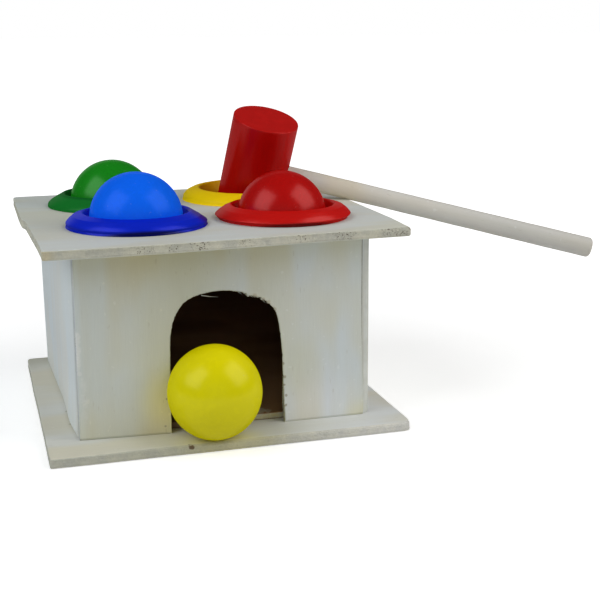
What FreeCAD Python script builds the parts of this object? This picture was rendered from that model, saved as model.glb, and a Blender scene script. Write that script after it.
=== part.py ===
# Ball pounding toy: a small plywood house with four elastic rings in its top board. Painted
# wooden balls sit in the rings. A hammer drives a ball down through its ring, the ball drops
# on a sloping floor and rolls out of the arched doorway at the front.
# Units are millimetres. +Z is up, the doorway faces -Y and +X is to the right of someone who
# looks at the doorway. The origin is the middle of the base board's underside.

import FreeCAD, Part

import math
import os

Vector = FreeCAD.Vector

# Sheet material
board_ply = 3.0
wall_ply = 2.5
ramp_ply = 2.5

# Balls
ball_diameter = 30.0

# Height of each ball's centre above the top board: each sits as deep as it was pushed in
ball_seat_height = {"green": 1.4, "blue": 2.6, "red": 0.9, "yellow": 1.6}

# Elastic ring, a turned shape. Radii are steps outward from the ball, heights are above the board
ring_squeeze = 1.25
ring_seat_gap = 0.15
ring_neck_wall = 2.9
ring_neck_gap = 0.1
ring_crest_step = 3.0
ring_fold_step = 2.8
ring_rim_step = 2.4
ring_crest_height = 4.7
ring_fold_height = 3.5
ring_rim_height = 1.1
ring_rim_undercut = 0.9
ring_bevel_bulge = 0.3
ring_crest_round = 0.7
ring_lip_step = 0.9
ring_lip_gap = 0.1
ring_tail = 3.4
ring_land = 0.8

# Top board: the clear strips round and between the rings
ring_spacing_x = 4.1
ring_spacing_y = 1.6
margin_left = 11.05
margin_right = 10.05
margin_front = 13.8
margin_back = 5.8
board_corner_radius = 3.0
board_edge_round = 0.4

# Base board: how far it reaches past the top board at the front and back
base_extra = 2.0

# House walls, glued between the two boards, and how far the top board overhangs them
wall_height = 62.0
overhang_side = 10.0
overhang_front = 12.0
overhang_back = 4.0
wall_arris_round = 0.8

# Arched doorway in the front panel: room beside and above a ball, then the arch
door_side_room = 4.0
door_head_room = 3.0
door_rise = 13.0
door_shoulder_radius = 9.5

# Sloping floor inside the house
ramp_angle = 16.0
ramp_end_gap = 0.2

# Yellow ball, rolled out of the doorway and stopped against the edge of its left jamb
rolled_ball_offset = 6.6
rolled_ball_jamb_gap = 0.32
rolled_ball_floor_gap = 0.05

# Hammer: head, handle and the way the handle enters the head
head_throat_gap = 1.75
head_length = 39.4
head_edge_round = 0.9
handle_diameter = 7.0
handle_reach = 129.0
handle_past_axis = 3.0
handle_end_round = 1.6
handle_bore_gap = 0.05

# Hammer at rest: the head stands tilted in the yellow ring, while the handle lies across the
# ring's crest and the right edge of the top board
hammer_roll = 15.67
hammer_turn = -19.53
hammer_shift_x = 0.7
hammer_shift_y = 0.45
hammer_throat_depth = 3.5
handle_crest_gap = 0.2
handle_edge_gap = 0.35

# Radii of the ring
ball_radius = ball_diameter / 2
throat_radius = ball_radius - ring_squeeze
neck_radius = ball_radius + ring_neck_wall
crest_radius = ball_radius + ring_crest_step
fold_radius = crest_radius + ring_fold_step
flange_radius = fold_radius + ring_rim_step

# Boards and walls
hole_pitch_x = 2 * flange_radius + ring_spacing_x
hole_pitch_y = 2 * flange_radius + ring_spacing_y
board_width = margin_left + hole_pitch_x + 2 * flange_radius + margin_right
top_depth = margin_front + hole_pitch_y + 2 * flange_radius + margin_back
base_depth = top_depth + 2 * base_extra
house_width = board_width - 2 * overhang_side
front_face = -top_depth / 2 + overhang_front
back_face = top_depth / 2 - overhang_back
wall_bottom = board_ply
wall_top = wall_bottom + wall_height
top_surface = wall_top + board_ply
inner_half_width = house_width / 2 - wall_ply
door_half_width = ball_radius + door_side_room
door_spring = wall_bottom + ball_diameter + door_head_room

# Ring holes, by the colour of the ball that belongs there
hole_left = -board_width / 2 + margin_left + flange_radius
hole_front = -top_depth / 2 + margin_front + flange_radius
hole_centre = {
    "green": (hole_left, hole_front + hole_pitch_y),
    "blue": (hole_left, hole_front),
    "red": (hole_left + hole_pitch_x, hole_front),
    "yellow": (hole_left + hole_pitch_x, hole_front + hole_pitch_y),
}

# Hammer
head_radius = throat_radius - head_throat_gap
handle_radius = handle_diameter / 2


def box(x0, x1, y0, y1, z0, z1):
    return Part.makeBox(x1 - x0, y1 - y0, z1 - z0, Vector(x0, y0, z0))


def line(a, b):
    return Part.makeLine(Vector(*a), Vector(*b))


def arc(a, b, c):
    """Circular arc from a through b to c."""
    return Part.Arc(Vector(*a), Vector(*b), Vector(*c)).toShape()


def upright_edges(shape):
    """Straight edges of a shape that run along Z."""
    found = []
    for edge in shape.Edges:
        if isinstance(edge.Curve, Part.Line) and abs(edge.Curve.Direction.z) > 0.999:
            found.append(edge)
    return found


def level_edges(shape, height):
    """Edges of a shape that lie in the horizontal plane at a height."""
    found = []
    for edge in shape.Edges:
        bounds = edge.BoundBox
        if abs(bounds.ZMin - height) < 1e-6 and abs(bounds.ZMax - height) < 1e-6:
            found.append(edge)
    return found


def board(width, depth, bottom):
    """Plywood rectangle with rounded corners in plan and softened top and bottom edges."""
    top = bottom + board_ply
    plate = box(-width / 2, width / 2, -depth / 2, depth / 2, bottom, top)
    plate = plate.makeFillet(board_corner_radius, upright_edges(plate))
    soft = min(board_edge_round, board_ply / 3)
    return plate.makeFillet(soft, level_edges(plate, bottom) + level_edges(plate, top))


def base_board():
    return board(board_width, base_depth, 0)


def top_board():
    """Overhanging board with a round hole for the neck of each ring."""
    plate = board(board_width, top_depth, wall_top)
    for x, y in hole_centre.values():
        below = Vector(x, y, wall_top - board_ply)
        plate = plate.cut(Part.makeCylinder(neck_radius + ring_neck_gap, 3 * board_ply, below))
    return plate


def doorway():
    """Prism to cut the doorway: straight jambs under a three-centred arch."""
    y = front_face - wall_ply
    half = door_half_width
    shoulder = min(door_shoulder_radius, 0.9 * door_rise, 0.9 * half)
    crown = (half**2 + door_rise**2 - 2 * half * shoulder) / (2 * (door_rise - shoulder))
    crown_centre = door_spring + door_rise - crown
    shoulder_centre = half - shoulder
    turn = math.atan2(door_spring - crown_centre, shoulder_centre)

    def on_shoulder(side, angle):
        reach = shoulder_centre + shoulder * math.cos(angle)
        return side * reach, y, door_spring + shoulder * math.sin(angle)

    edges = [arc(on_shoulder(-1, turn), (0, y, door_spring + door_rise), on_shoulder(1, turn))]
    for side in (-1, 1):
        edges.append(arc(on_shoulder(side, turn), on_shoulder(side, turn / 2), on_shoulder(side, 0)))
        edges.append(line(on_shoulder(side, 0), (side * half, y, 0)))
    edges.append(line((-half, y, 0), (half, y, 0)))
    outline = Part.Wire(Part.__sortEdges__(edges))
    return Part.Face(outline).extrude(Vector(0, 3 * wall_ply, 0))


def wall(x_ends, y_ends, corner):
    """Wall of the house with its one free upright arris, at the house's corner, rounded."""
    panel = box(*x_ends, *y_ends, wall_bottom, wall_top)
    arris = []
    for edge in upright_edges(panel):
        middle = edge.BoundBox.Center
        if abs(middle.x - corner[0]) < 1e-6 and abs(middle.y - corner[1]) < 1e-6:
            arris.append(edge)
    return panel.makeFillet(min(wall_arris_round, wall_ply / 3), arris)


# The four walls chase each other round: each covers the end of the next one and butts against
# the one before it. The front panel's left end is free, then the left wall's back end, and so on.
def front_panel():
    x_ends = (-house_width / 2, inner_half_width)
    y_ends = (front_face, front_face + wall_ply)
    return wall(x_ends, y_ends, (x_ends[0], y_ends[0])).cut(doorway())


def left_side_panel():
    x_ends = (-house_width / 2, -inner_half_width)
    y_ends = (front_face + wall_ply, back_face)
    return wall(x_ends, y_ends, (x_ends[0], y_ends[1]))


def back_panel():
    x_ends = (-inner_half_width, house_width / 2)
    y_ends = (back_face - wall_ply, back_face)
    return wall(x_ends, y_ends, (x_ends[1], y_ends[1]))


def right_side_panel():
    x_ends = (inner_half_width, house_width / 2)
    y_ends = (front_face, back_face - wall_ply)
    return wall(x_ends, y_ends, (x_ends[1], y_ends[0]))


def ramp_board():
    """Floor board glued between the side walls, its square low end on the base board."""
    slope = math.radians(ramp_angle)
    front = front_face + wall_ply + ramp_end_gap + ramp_ply * math.sin(slope)
    length = (back_face - wall_ply - ramp_end_gap - front) / math.cos(slope)
    plate = box(-inner_half_width, inner_half_width, 0, length, 0, ramp_ply)
    plate.rotate(Vector(0, 0, 0), Vector(1, 0, 0), ramp_angle)
    plate.translate(Vector(0, front, wall_bottom))
    return plate


def ball(colour):
    """Ball in its ring; the yellow one has rolled out through the doorway."""
    if colour == "yellow":
        x = -rolled_ball_offset
        beside = door_half_width - rolled_ball_offset
        out = math.sqrt((ball_radius + rolled_ball_jamb_gap) ** 2 - beside**2)
        y = front_face - out
        z = board_ply + ball_radius + rolled_ball_floor_gap
    else:
        x, y = hole_centre[colour]
        z = top_surface + ball_seat_height[colour]
    return Part.makeSphere(ball_radius, Vector(x, y, z))


def ring(colour):
    """Elastic ring, revolved: flange on the board, neck through the hole, snap lip below."""
    seat = ball_radius + ring_seat_gap
    centre = ball_seat_height[colour]
    drop = math.sqrt(seat**2 - throat_radius**2)
    under = -board_ply - ring_lip_gap
    tail = min(-board_ply - ring_tail, centre - drop - ring_land)
    half_way = math.asin(drop / seat) / 2
    middle_r = (fold_radius + flange_radius) / 2 + ring_bevel_bulge
    middle_z = (ring_fold_height + ring_rim_height) / 2 + ring_bevel_bulge
    seat_middle_r = seat * math.cos(half_way)
    seat_middle_z = centre - seat * math.sin(half_way)
    inner_crest = (crest_radius - ring_crest_round, 0, ring_crest_height - 0.7 * ring_crest_round)
    top_crest = (crest_radius, 0, ring_crest_height)
    outer_crest = (crest_radius + ring_crest_round, 0, ring_crest_height - 0.3 * ring_crest_round)
    fold = (fold_radius, 0, ring_fold_height)
    rim = (flange_radius, 0, ring_rim_height)
    foot = (flange_radius - ring_rim_undercut, 0, 0)
    neck = (neck_radius, 0, 0)
    neck_end = (neck_radius, 0, under)
    lip = (neck_radius + ring_lip_step, 0, under)
    tail_out = (neck_radius - ring_lip_step, 0, tail)
    tail_in = (throat_radius, 0, tail)
    throat = (throat_radius, 0, centre - drop)
    equator = (seat, 0, centre)
    edges = [
        arc(inner_crest, top_crest, outer_crest),
        line(outer_crest, fold),
        arc(fold, (middle_r, 0, middle_z), rim),
        line(rim, foot),
        line(foot, neck),
        line(neck, neck_end),
        line(neck_end, lip),
        line(lip, tail_out),
        line(tail_out, tail_in),
        line(tail_in, throat),
        arc(throat, (seat_middle_r, 0, seat_middle_z), equator),
        line(equator, inner_crest),
    ]
    profile = Part.Face(Part.Wire(edges))
    turned = profile.revolve(Vector(0, 0, 0), Vector(0, 0, 1), 360)
    x, y = hole_centre[colour]
    turned.translate(Vector(x, y, top_surface))
    return turned


def hammer_placement():
    """Placement of the hammer, whose own X runs along the handle and Z along the head.

    The handle's droop and height are found step by step, until its underside clears the
    yellow ring's crest and the right edge of the top board by their gaps.
    """
    x, y = hole_centre["yellow"]
    on_axis = Vector(x + hammer_shift_x, y + hammer_shift_y, top_surface - hammer_throat_depth)
    centre = Vector(x, y, 0)
    edge_x = board_width / 2
    droop = 0.0
    rise = head_length / 2
    for _ in range(60):
        turn = FreeCAD.Rotation(Vector(0, 0, 1), hammer_turn)
        turn = turn * FreeCAD.Rotation(Vector(0, 1, 0), droop)
        turn = turn * FreeCAD.Rotation(Vector(1, 0, 0), hammer_roll)
        handle = turn.multVec(Vector(1, 0, 0))
        middle = on_axis + turn.multVec(Vector(0, 0, rise))
        flat = Vector(handle.x, handle.y, 0)
        start = Vector(middle.x, middle.y, 0) - centre
        along = start.dot(flat) / flat.dot(flat)
        outside = start.dot(start) - crest_radius**2
        to_crest = math.sqrt(along**2 - outside / flat.dot(flat)) - along
        crest_room = middle.z + handle.z * to_crest - top_surface - ring_crest_height
        rise += handle_radius + handle_crest_gap - crest_room * flat.Length
        to_edge = (edge_x - middle.x) / handle.x
        edge_room = (middle.z + handle.z * to_edge - top_surface) * math.cos(math.radians(droop))
        droop += math.degrees((edge_room - handle_radius - handle_edge_gap) / to_edge)
    return FreeCAD.Placement(middle, turn)


def hammer_head():
    """Wooden cylinder with softened rims and a blind bore for the handle in its side."""
    half = head_length / 2
    head = Part.makeCylinder(head_radius, head_length, Vector(0, 0, -half))
    head = head.makeFillet(head_edge_round, level_edges(head, half) + level_edges(head, -half))
    bore_radius = handle_radius + handle_bore_gap
    bore_start = Vector(-handle_past_axis, 0, 0)
    head = head.cut(Part.makeCylinder(bore_radius, 2 * head_radius, bore_start, Vector(1, 0, 0)))
    head.Placement = hammer_placement()
    return head


def hammer_handle():
    """Dowel glued into the head, its free end rounded over."""
    length = handle_reach + handle_past_axis
    start = Vector(-handle_past_axis, 0, 0)
    dowel = Part.makeCylinder(handle_radius, length, start, Vector(1, 0, 0))
    free_end = [e for e in dowel.Edges if e.BoundBox.XMin > handle_reach - 1e-3]
    dowel = dowel.makeFillet(min(handle_end_round, 0.8 * handle_radius), free_end)
    dowel.Placement = hammer_placement()
    return dowel


nodes = {
    "base_board": base_board(),
    "front_panel": front_panel(),
    "back_panel": back_panel(),
    "left_side_panel": left_side_panel(),
    "right_side_panel": right_side_panel(),
    "ramp_board": ramp_board(),
    "top_board": top_board(),
    "hammer_head": hammer_head(),
    "hammer_handle": hammer_handle(),
}
for colour in hole_centre:
    nodes[colour + "_ring"] = ring(colour)
    nodes[colour + "_ball"] = ball(colour)

os.makedirs("parts", exist_ok=True)
for name, shape in nodes.items():
    shape.exportStep("parts/" + name + ".step")
    bounds = shape.BoundBox
    print(
        "%-17s %d solid, %8.0f mm3, x %.1f..%.1f y %.1f..%.1f z %.1f..%.1f"
        % (name, len(shape.Solids), shape.Volume, bounds.XMin, bounds.XMax, bounds.YMin,
           bounds.YMax, bounds.ZMin, bounds.ZMax)
    )
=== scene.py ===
import math

import bmesh
import bpy
from mathutils import Matrix, Vector, noise


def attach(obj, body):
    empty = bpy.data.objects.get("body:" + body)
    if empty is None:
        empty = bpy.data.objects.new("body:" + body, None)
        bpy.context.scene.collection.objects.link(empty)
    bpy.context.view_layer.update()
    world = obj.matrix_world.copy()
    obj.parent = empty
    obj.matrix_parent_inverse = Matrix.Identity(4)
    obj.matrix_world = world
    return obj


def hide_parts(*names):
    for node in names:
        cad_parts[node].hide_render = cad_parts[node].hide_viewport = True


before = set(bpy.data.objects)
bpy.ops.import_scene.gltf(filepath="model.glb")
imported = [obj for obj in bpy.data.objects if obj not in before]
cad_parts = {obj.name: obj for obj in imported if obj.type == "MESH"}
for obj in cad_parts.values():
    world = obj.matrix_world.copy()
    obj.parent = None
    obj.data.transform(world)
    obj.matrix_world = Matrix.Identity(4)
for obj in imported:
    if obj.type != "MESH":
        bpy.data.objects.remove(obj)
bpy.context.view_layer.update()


# Base board
# The floor of the toy: a 3 mm basswood plywood rectangle, sawn by hand, its corners rounded and its
# faces lightly sanded. Its sawn edges stay rough, with torn fibres and open pits in the core ply.

MM = 0.001
BOARD_PLY = 3.0


def divided(corners, step):
    """Closed outline through its corners, with points no more than a step apart."""
    points = []
    for start, end in zip(corners, corners[1:] + corners[:1]):
        start, end = Vector(start), Vector(end)
        parts = max(1, round((end - start).length / step))
        points += [start.lerp(end, part / parts) for part in range(parts)]
    return points


def rounded(corners, parts=6):
    """Corners (x, y, radius) of an outline, each turned into an arc between its two sides."""
    points = []
    count = len(corners)
    for index, (x, y, radius) in enumerate(corners):
        corner = Vector((x, y))
        before = (Vector(corners[index - 1][:2]) - corner).normalized()
        after = (Vector(corners[(index + 1) % count][:2]) - corner).normalized()
        start, end = corner + before * radius, corner + after * radius
        for part in range(parts + 1):
            share = part / parts
            points.append(start.lerp(corner, share).lerp(corner.lerp(end, share), share))
    return points


def added(name, data):
    """New object in the scene."""
    thing = bpy.data.objects.new(name, data)
    bpy.context.scene.collection.objects.link(thing)
    return thing


def made_of(bm, name):
    """New object with the faces of a bmesh, which isn't used after it."""
    bmesh.ops.recalc_face_normals(bm, faces=bm.faces)
    mesh = bpy.data.meshes.new(name)
    bm.to_mesh(mesh)
    bm.free()
    return added(name, mesh)


def ply_sheet(name, place, outline, holes, thickness, section, wave, rough, torn, seed, drawn=None):
    """Sheet sawn from plywood.

    outline and holes are closed loops of points in mm, the outline counterclockwise and the holes
    clockwise, seen from the sheet's outer face. section lists how far each row of edge points lies
    through the thickness and how far it is drawn in. wave bends the saw cut, rough roughens it,
    torn opens pits in the core ply, and drawn gives how much further a place of the edge is drawn
    in. seed picks another cut for each sheet.
    """
    waves, fibres, pits, pit_fields = 0.045, 0.9, 0.7, 0.09
    bm = bmesh.new()
    rims = ([], [])
    for loop in [outline, *holes]:
        count = len(loop)
        rows = []
        for through, inset in section:
            core = max(0.0, 1 - abs(through - 0.5) * 2.4)
            row = []
            for index, point in enumerate(loop):
                along = loop[(index + 1) % count] - loop[index - 1]
                out = Vector((along.y, -along.x)).normalized()
                spot = Vector((point.x, point.y, seed))
                bend = wave * noise.noise(spot * waves)
                fuzz = noise.noise(Vector((point.x * fibres, point.y * fibres,
                                           seed + through * 2.5)))
                pit = noise.noise(Vector((point.x * pits, point.y * pits,
                                          seed + 7 + through * 1.6)))
                field = max(0.0, 0.35 + noise.noise(spot * pit_fields + Vector((9, 0, 0))))
                dig = inset + rough * abs(fuzz) + torn * core * field * max(0.0, pit - 0.18) * 3
                if drawn:
                    dig += drawn(point, through)
                at = point + out * (bend - dig)
                row.append(bm.verts.new(place @ Vector((at.x, at.y, through * thickness)) * MM))
            rows.append(row)
        for level, (low, high) in enumerate(zip(rows, rows[1:])):
            sawn_row = 0 < level < len(rows) - 2
            for index in range(count):
                after = (index + 1) % count
                face = bm.faces.new((low[index], low[after], high[after], high[index]))
                face.material_index = 1 if sawn_row else 0
                face.smooth = True
        for rim, row in ((rims[0], rows[0]), (rims[1], rows[-1])):
            for index in range(count):
                rim.append(bm.edges.get((row[index], row[(index + 1) % count])))
    for side, rim in enumerate(rims):
        made = bmesh.ops.triangle_fill(bm, use_beauty=True, use_dissolve=False, edges=rim)
        for face in made["geom"]:
            if isinstance(face, bmesh.types.BMFace):
                face.smooth = False
                face.material_index = 2 if side == 0 else 0
    bm.edges.index_update()
    arrises = [edge.index for rim in rims for edge in rim]
    sheet = made_of(bm, name)
    sheet.data.set_sharp_from_angle(angle=math.radians(50))
    for index in arrises:
        sheet.data.edges[index].use_edge_sharp = True
    return sheet


LOOK = [("Color", "Color"), ("Roughness", "Float"), ("Height", "Float")]


def shader_group(name, inputs, outputs=LOOK):
    """Empty shader node group with named sockets; most groups put out a whole look."""
    group = bpy.data.node_groups.new(name, "ShaderNodeTree")
    for label, kind, value in inputs:
        socket = group.interface.new_socket(label, in_out="INPUT", socket_type="NodeSocket" + kind)
        if value is not None:
            socket.default_value = value
    for label, kind in outputs:
        group.interface.new_socket(label, in_out="OUTPUT", socket_type="NodeSocket" + kind)
    nodes = group.nodes
    return group, nodes.new("NodeGroupInput").outputs, nodes.new("NodeGroupOutput").inputs


def add(tree, kind, inputs=(), **settings):
    """New shader node; inputs gives each named or numbered socket a value or another output."""
    node = tree.nodes.new("ShaderNode" + kind)
    for key, value in settings.items():
        setattr(node, key, value)
    for key, value in dict(inputs).items():
        if isinstance(value, bpy.types.NodeSocket):
            tree.links.new(value, node.inputs[key])
        else:
            node.inputs[key].default_value = value
    return node


def maths(tree, operation, first, second=0.0, third=0.0, clamp=False):
    """Result of a sum, product or other step on up to three numbers."""
    inputs = {0: first, 1: second, 2: third}
    return add(tree, "Math", inputs, operation=operation, use_clamp=clamp).outputs[0]


def blended(tree, factor, first, second, mode="MIX"):
    """Mix of two colours."""
    inputs = {0: factor, 6: first, 7: second}
    return add(tree, "Mix", inputs, data_type="RGBA", blend_type=mode).outputs[2]


def shaded(tree, colour, shade):
    """Colour made lighter or darker by a factor."""
    grey = add(tree, "CombineColor", {0: shade, 1: shade, 2: shade}).outputs[0]
    return blended(tree, 1.0, colour, grey, "MULTIPLY")


def ramped(tree, value, low, high):
    """0 below low, 1 above high, and smooth between them."""
    inputs = {"Value": value, "From Min": low, "From Max": high}
    return add(tree, "MapRange", inputs, interpolation_type="SMOOTHSTEP").outputs[0]


def stretched(tree, vector, scale, offset=(0, 0, 0)):
    """Coordinates scaled along each axis, so that a pattern is finer across than along."""
    return add(tree, "Mapping", {"Vector": vector, "Location": offset, "Scale": scale}).outputs[0]


def noisy(tree, vector, scale, detail=2.0, rough=0.5):
    """Soft random pattern between 0 and 1."""
    inputs = {"Vector": vector, "Scale": scale, "Detail": detail, "Roughness": rough}
    return add(tree, "TexNoise", inputs).outputs["Fac"]


# Veneer face: pale, nearly grainless basswood. Broad patches drift between a cool grey and an
# olive tan, with faint fibres along the group's Z and a few short dark flecks and pale specks.
veneer, given, result = shader_group(
    "basswood veneer",
    [
        ("Vector", "Vector", None),
        ("Cool", "Color", (0.66, 0.69, 0.66, 1)),
        ("Warm", "Color", (0.63, 0.62, 0.49, 1)),
        ("Patches", "Float", 0.5),
        ("Flecks", "Float", 0.5),
        ("Streaks", "Float", 0.16),
    ])
broad = noisy(veneer, stretched(veneer, given["Vector"], (46, 46, 15)), 1.0, 2.0, 0.45)
streak = noisy(veneer, stretched(veneer, given["Vector"], (260, 260, 14), (3, 1, 2)), 1.0, 3.0)
fibres = noisy(veneer, stretched(veneer, given["Vector"], (2600, 2600, 130)), 1.0, 3.0, 0.6)
dashes = noisy(veneer, stretched(veneer, given["Vector"], (1150, 1150, 260), (7, 3, 5)), 1.0, 1.0)
specks = noisy(veneer, given["Vector"], 620.0, 0.0)
patch = maths(veneer, "ADD", ramped(veneer, broad, 0.42, 0.60), given["Patches"])
patch = maths(veneer, "SUBTRACT", patch, 0.5, clamp=True)
tone = blended(veneer, patch, given["Cool"], given["Warm"])
streaked = maths(veneer, "MULTIPLY", ramped(veneer, streak, 0.35, 0.75), given["Streaks"])
tone = blended(veneer, streaked, tone, (0.60, 0.585, 0.49, 1))
dark = maths(veneer, "MULTIPLY", ramped(veneer, dashes, 0.70, 0.80), given["Flecks"])
tone = blended(veneer, maths(veneer, "MULTIPLY", dark, 0.55), tone, (0.33, 0.29, 0.2, 1))
pale = maths(veneer, "MULTIPLY", ramped(veneer, specks, 0.76, 0.84), given["Flecks"])
tone = blended(veneer, maths(veneer, "MULTIPLY", pale, 0.8), tone, (0.82, 0.82, 0.78, 1))
shade = maths(veneer, "MULTIPLY_ADD", fibres, 0.10, 0.95)
veneer.links.new(shaded(veneer, tone, shade), result["Color"])
veneer.links.new(maths(veneer, "MULTIPLY_ADD", fibres, 0.16, 0.62), result["Roughness"])
raised = maths(veneer, "MULTIPLY_ADD", dark, -0.9, fibres)
raised = maths(veneer, "MULTIPLY_ADD", pale, 0.8, raised)
veneer.links.new(raised, result["Height"])

# Sawn ply edge: end fibres of three plies. Depth runs from 0 to 1 through the sheet. Brown pits
# gather in the core, and the two glue lines are a little darker.
sawn, given, result = shader_group(
    "sawn ply edge",
    [
        ("Vector", "Vector", None),
        ("Depth", "Float", 0.5),
        ("Wood", "Color", (0.58, 0.565, 0.44, 1)),
        ("Pits", "Float", 0.5),
        ("Mottle", "Float", 1.0),
    ])
mottle = noisy(sawn, given["Vector"], 190.0, 4.0, 0.6)
grit = noisy(sawn, given["Vector"], 1500.0, 3.0, 0.65)
holes = noisy(sawn, stretched(sawn, given["Vector"], (1500, 1500, 2000)), 1.0, 1.0)
pinholes = noisy(sawn, stretched(sawn, given["Vector"], (2700, 2700, 3300), (5, 2, 8)), 1.0, 1.0)
centre = maths(sawn, "ABSOLUTE", maths(sawn, "SUBTRACT", given["Depth"], 0.5))
core = ramped(sawn, centre, 0.50, 0.36)
pits = maths(sawn, "MAXIMUM", ramped(sawn, holes, 0.63, 0.71), ramped(sawn, pinholes, 0.60, 0.70))
pits = maths(sawn, "MULTIPLY", pits, core)
pits = maths(sawn, "MULTIPLY", pits, given["Pits"], clamp=True)
glue = maths(sawn, "SUBTRACT", centre, 0.31)
glue = ramped(sawn, maths(sawn, "ABSOLUTE", glue), 0.05, 0.0)
mottle = maths(sawn, "MULTIPLY", ramped(sawn, mottle, 0.70, 0.32), given["Mottle"])
tone = blended(sawn, mottle, given["Wood"], (0.47, 0.47, 0.40, 1))
tone = blended(sawn, maths(sawn, "MULTIPLY", glue, 0.30), tone, (0.30, 0.26, 0.17, 1))
tone = blended(sawn, maths(sawn, "MULTIPLY", ramped(sawn, grit, 0.45, 0.75), 0.35), tone,
               (0.72, 0.70, 0.60, 1))
tone = blended(sawn, pits, tone, (0.115, 0.088, 0.058, 1))
sawn.links.new(tone, result["Color"])
sawn.links.new(maths(sawn, "MULTIPLY_ADD", grit, 0.1, 0.78), result["Roughness"])
sawn.links.new(maths(sawn, "MULTIPLY_ADD", pits, -1.6, grit), result["Height"])

# A stain or knot in one spot of a sheet: the mask is 1 within the size of the spot's centre.
stain, given, result = shader_group(
    "stain",
    [("Vector", "Vector", None), ("Centre", "Vector", (0, 0, 0)), ("Size", "Float", 0.001)],
    [("Mask", "Float")],
)
offset = add(stain, "VectorMath", {0: given["Vector"], 1: given["Centre"]}, operation="SUBTRACT")
wobble = add(stain, "TexNoise", {"Vector": given["Vector"], "Scale": 900.0, "Detail": 1.0})
away = add(stain, "VectorMath", {0: offset.outputs[0]}, operation="LENGTH").outputs["Value"]
away = maths(stain, "DIVIDE", away, given["Size"])
away = maths(stain, "ADD", away, maths(stain, "SUBTRACT", wobble.outputs["Fac"], 0.5))
stain.links.new(ramped(stain, away, 1.05, 0.55), result["Mask"])


def principled(name, sheen):
    """Material with a Principled surface, its tree, its shader and its object coordinates."""
    material = bpy.data.materials.new(name)
    material.use_nodes = True
    tree = material.node_tree
    shader = tree.nodes["Principled BSDF"]
    shader.inputs["Specular IOR Level"].default_value = sheen
    coordinates = add(tree, "TexCoord").outputs["Object"]
    return material, tree, shader, coordinates


def placed(tree, group, inputs):
    """One of the shader groups, placed in a material."""
    return add(tree, "Group", inputs, node_tree=group)


def surface(tree, shader, look, colour, strength, distance):
    """Feeds a look to the shader, its height with a strength and a depth in metres."""
    tree.links.new(colour, shader.inputs["Base Color"])
    tree.links.new(look.outputs["Roughness"], shader.inputs["Roughness"])
    inputs = {"Height": look.outputs["Height"], "Strength": strength, "Distance": distance}
    bump = add(tree, "Bump", inputs)
    tree.links.new(bump.outputs["Normal"], shader.inputs["Normal"])


def marked(tree, coordinates, colour, stains, drifts):
    """Colour with its stains (centre, size, tint, amount) and its drifts.

    A drift (axis or centre, start, end, factors) multiplies the colour more and more from start to
    end, in mm, along an axis or towards a centre.
    """
    apart = add(tree, "SeparateXYZ", {0: coordinates})
    for origin, start, end, factors in drifts:
        if isinstance(origin, str):
            place = apart.outputs[origin]
        else:
            ends = {0: coordinates, 1: [part * MM for part in origin]}
            place = add(tree, "VectorMath", ends, operation="DISTANCE").outputs["Value"]
        share = ramped(tree, place, start * MM, end * MM)
        colour = blended(tree, share, colour, blended(tree, 1.0, colour, (*factors, 1), "MULTIPLY"))
    for centre, size, tint, amount in stains:
        mask = placed(tree, stain, {"Vector": coordinates, "Centre": centre, "Size": size})
        share = maths(tree, "MULTIPLY", mask.outputs["Mask"], amount)
        colour = blended(tree, share, colour, (*tint, 1))
    return colour


def veneer_material(name, grain, cool, warm, patches, flecks, stains=(), drifts=(), streaks=0.16):
    """Face of a sheet; grain turns the sheet's grain to the group's Z."""
    material, tree, shader, coordinates = principled(name, 0.3)
    turned = add(tree, "Mapping", {"Vector": coordinates, "Rotation": grain}).outputs[0]
    look = placed(tree, veneer, {"Vector": turned, "Cool": (*cool, 1), "Warm": (*warm, 1),
                                 "Patches": patches, "Flecks": flecks, "Streaks": streaks})
    colour = marked(tree, coordinates, look.outputs["Color"], stains, drifts)
    surface(tree, shader, look, colour, 0.35, 0.00012)
    return material


def sawn_material(name, axis, start, thickness, wood, pits, stains=(), clusters=(), drifts=(),
                  mottle=1.0):
    """Sawn edge of a sheet that lies between start and start + thickness along an axis, in mm.

    pits is how thickly pits lie everywhere, and clusters are the places where they crowd.
    """
    material, tree, shader, coordinates = principled(name, 0.2)
    apart = add(tree, "SeparateXYZ", {0: coordinates})
    inputs = {"Value": apart.outputs[axis], "From Min": start * MM,
              "From Max": (start + thickness) * MM}
    depth = add(tree, "MapRange", inputs).outputs[0]
    field = noisy(tree, coordinates, 42.0, 1.0)
    pits = maths(tree, "MULTIPLY", ramped(tree, field, 0.42, 0.66), pits)
    for centre, size in clusters:
        mask = placed(tree, stain, {"Vector": coordinates, "Centre": centre, "Size": size})
        pits = maths(tree, "ADD", pits, mask.outputs["Mask"])
    look = placed(tree, sawn, {"Vector": coordinates, "Depth": depth, "Wood": (*wood, 1),
                               "Pits": pits, "Mottle": mottle})
    colour = marked(tree, coordinates, look.outputs["Color"], stains, drifts)
    surface(tree, shader, look, colour, 0.6, 0.0003)
    return material


GRAIN_ALONG_X = (0, math.radians(90), 0)
GRAIN_ALONG_Z = (0, 0, 0)
BOARD_SECTION = ((0, 0.18), (0.06, 0.05), (0.18, 0), (0.3, 0.05), (0.42, 0.1), (0.54, 0.1),
                 (0.66, 0.06), (0.82, 0), (0.94, 0.05), (1, 0.2))
WORN_SECTION = (*BOARD_SECTION[:6], (0.66, 0.06), (0.74, 0.03), (0.82, 0), (0.88, 0.01),
                (0.93, 0.04), (0.97, 0.1), (1, 0.2))

KNOT = (0.13, 0.075, 0.04)
# Dull glue stains on the base; on the dark ramp face the same colour paints pale patches of light.
GLUE_AND_LIT_PATCH = (0.40, 0.385, 0.29)
base_corners = [(-60.1, -59.0, 0.9), (59.5, -59.0, 3.0), (60.4, 58.8, 2.6), (-56.7, 59.5, 2.4)]


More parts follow.
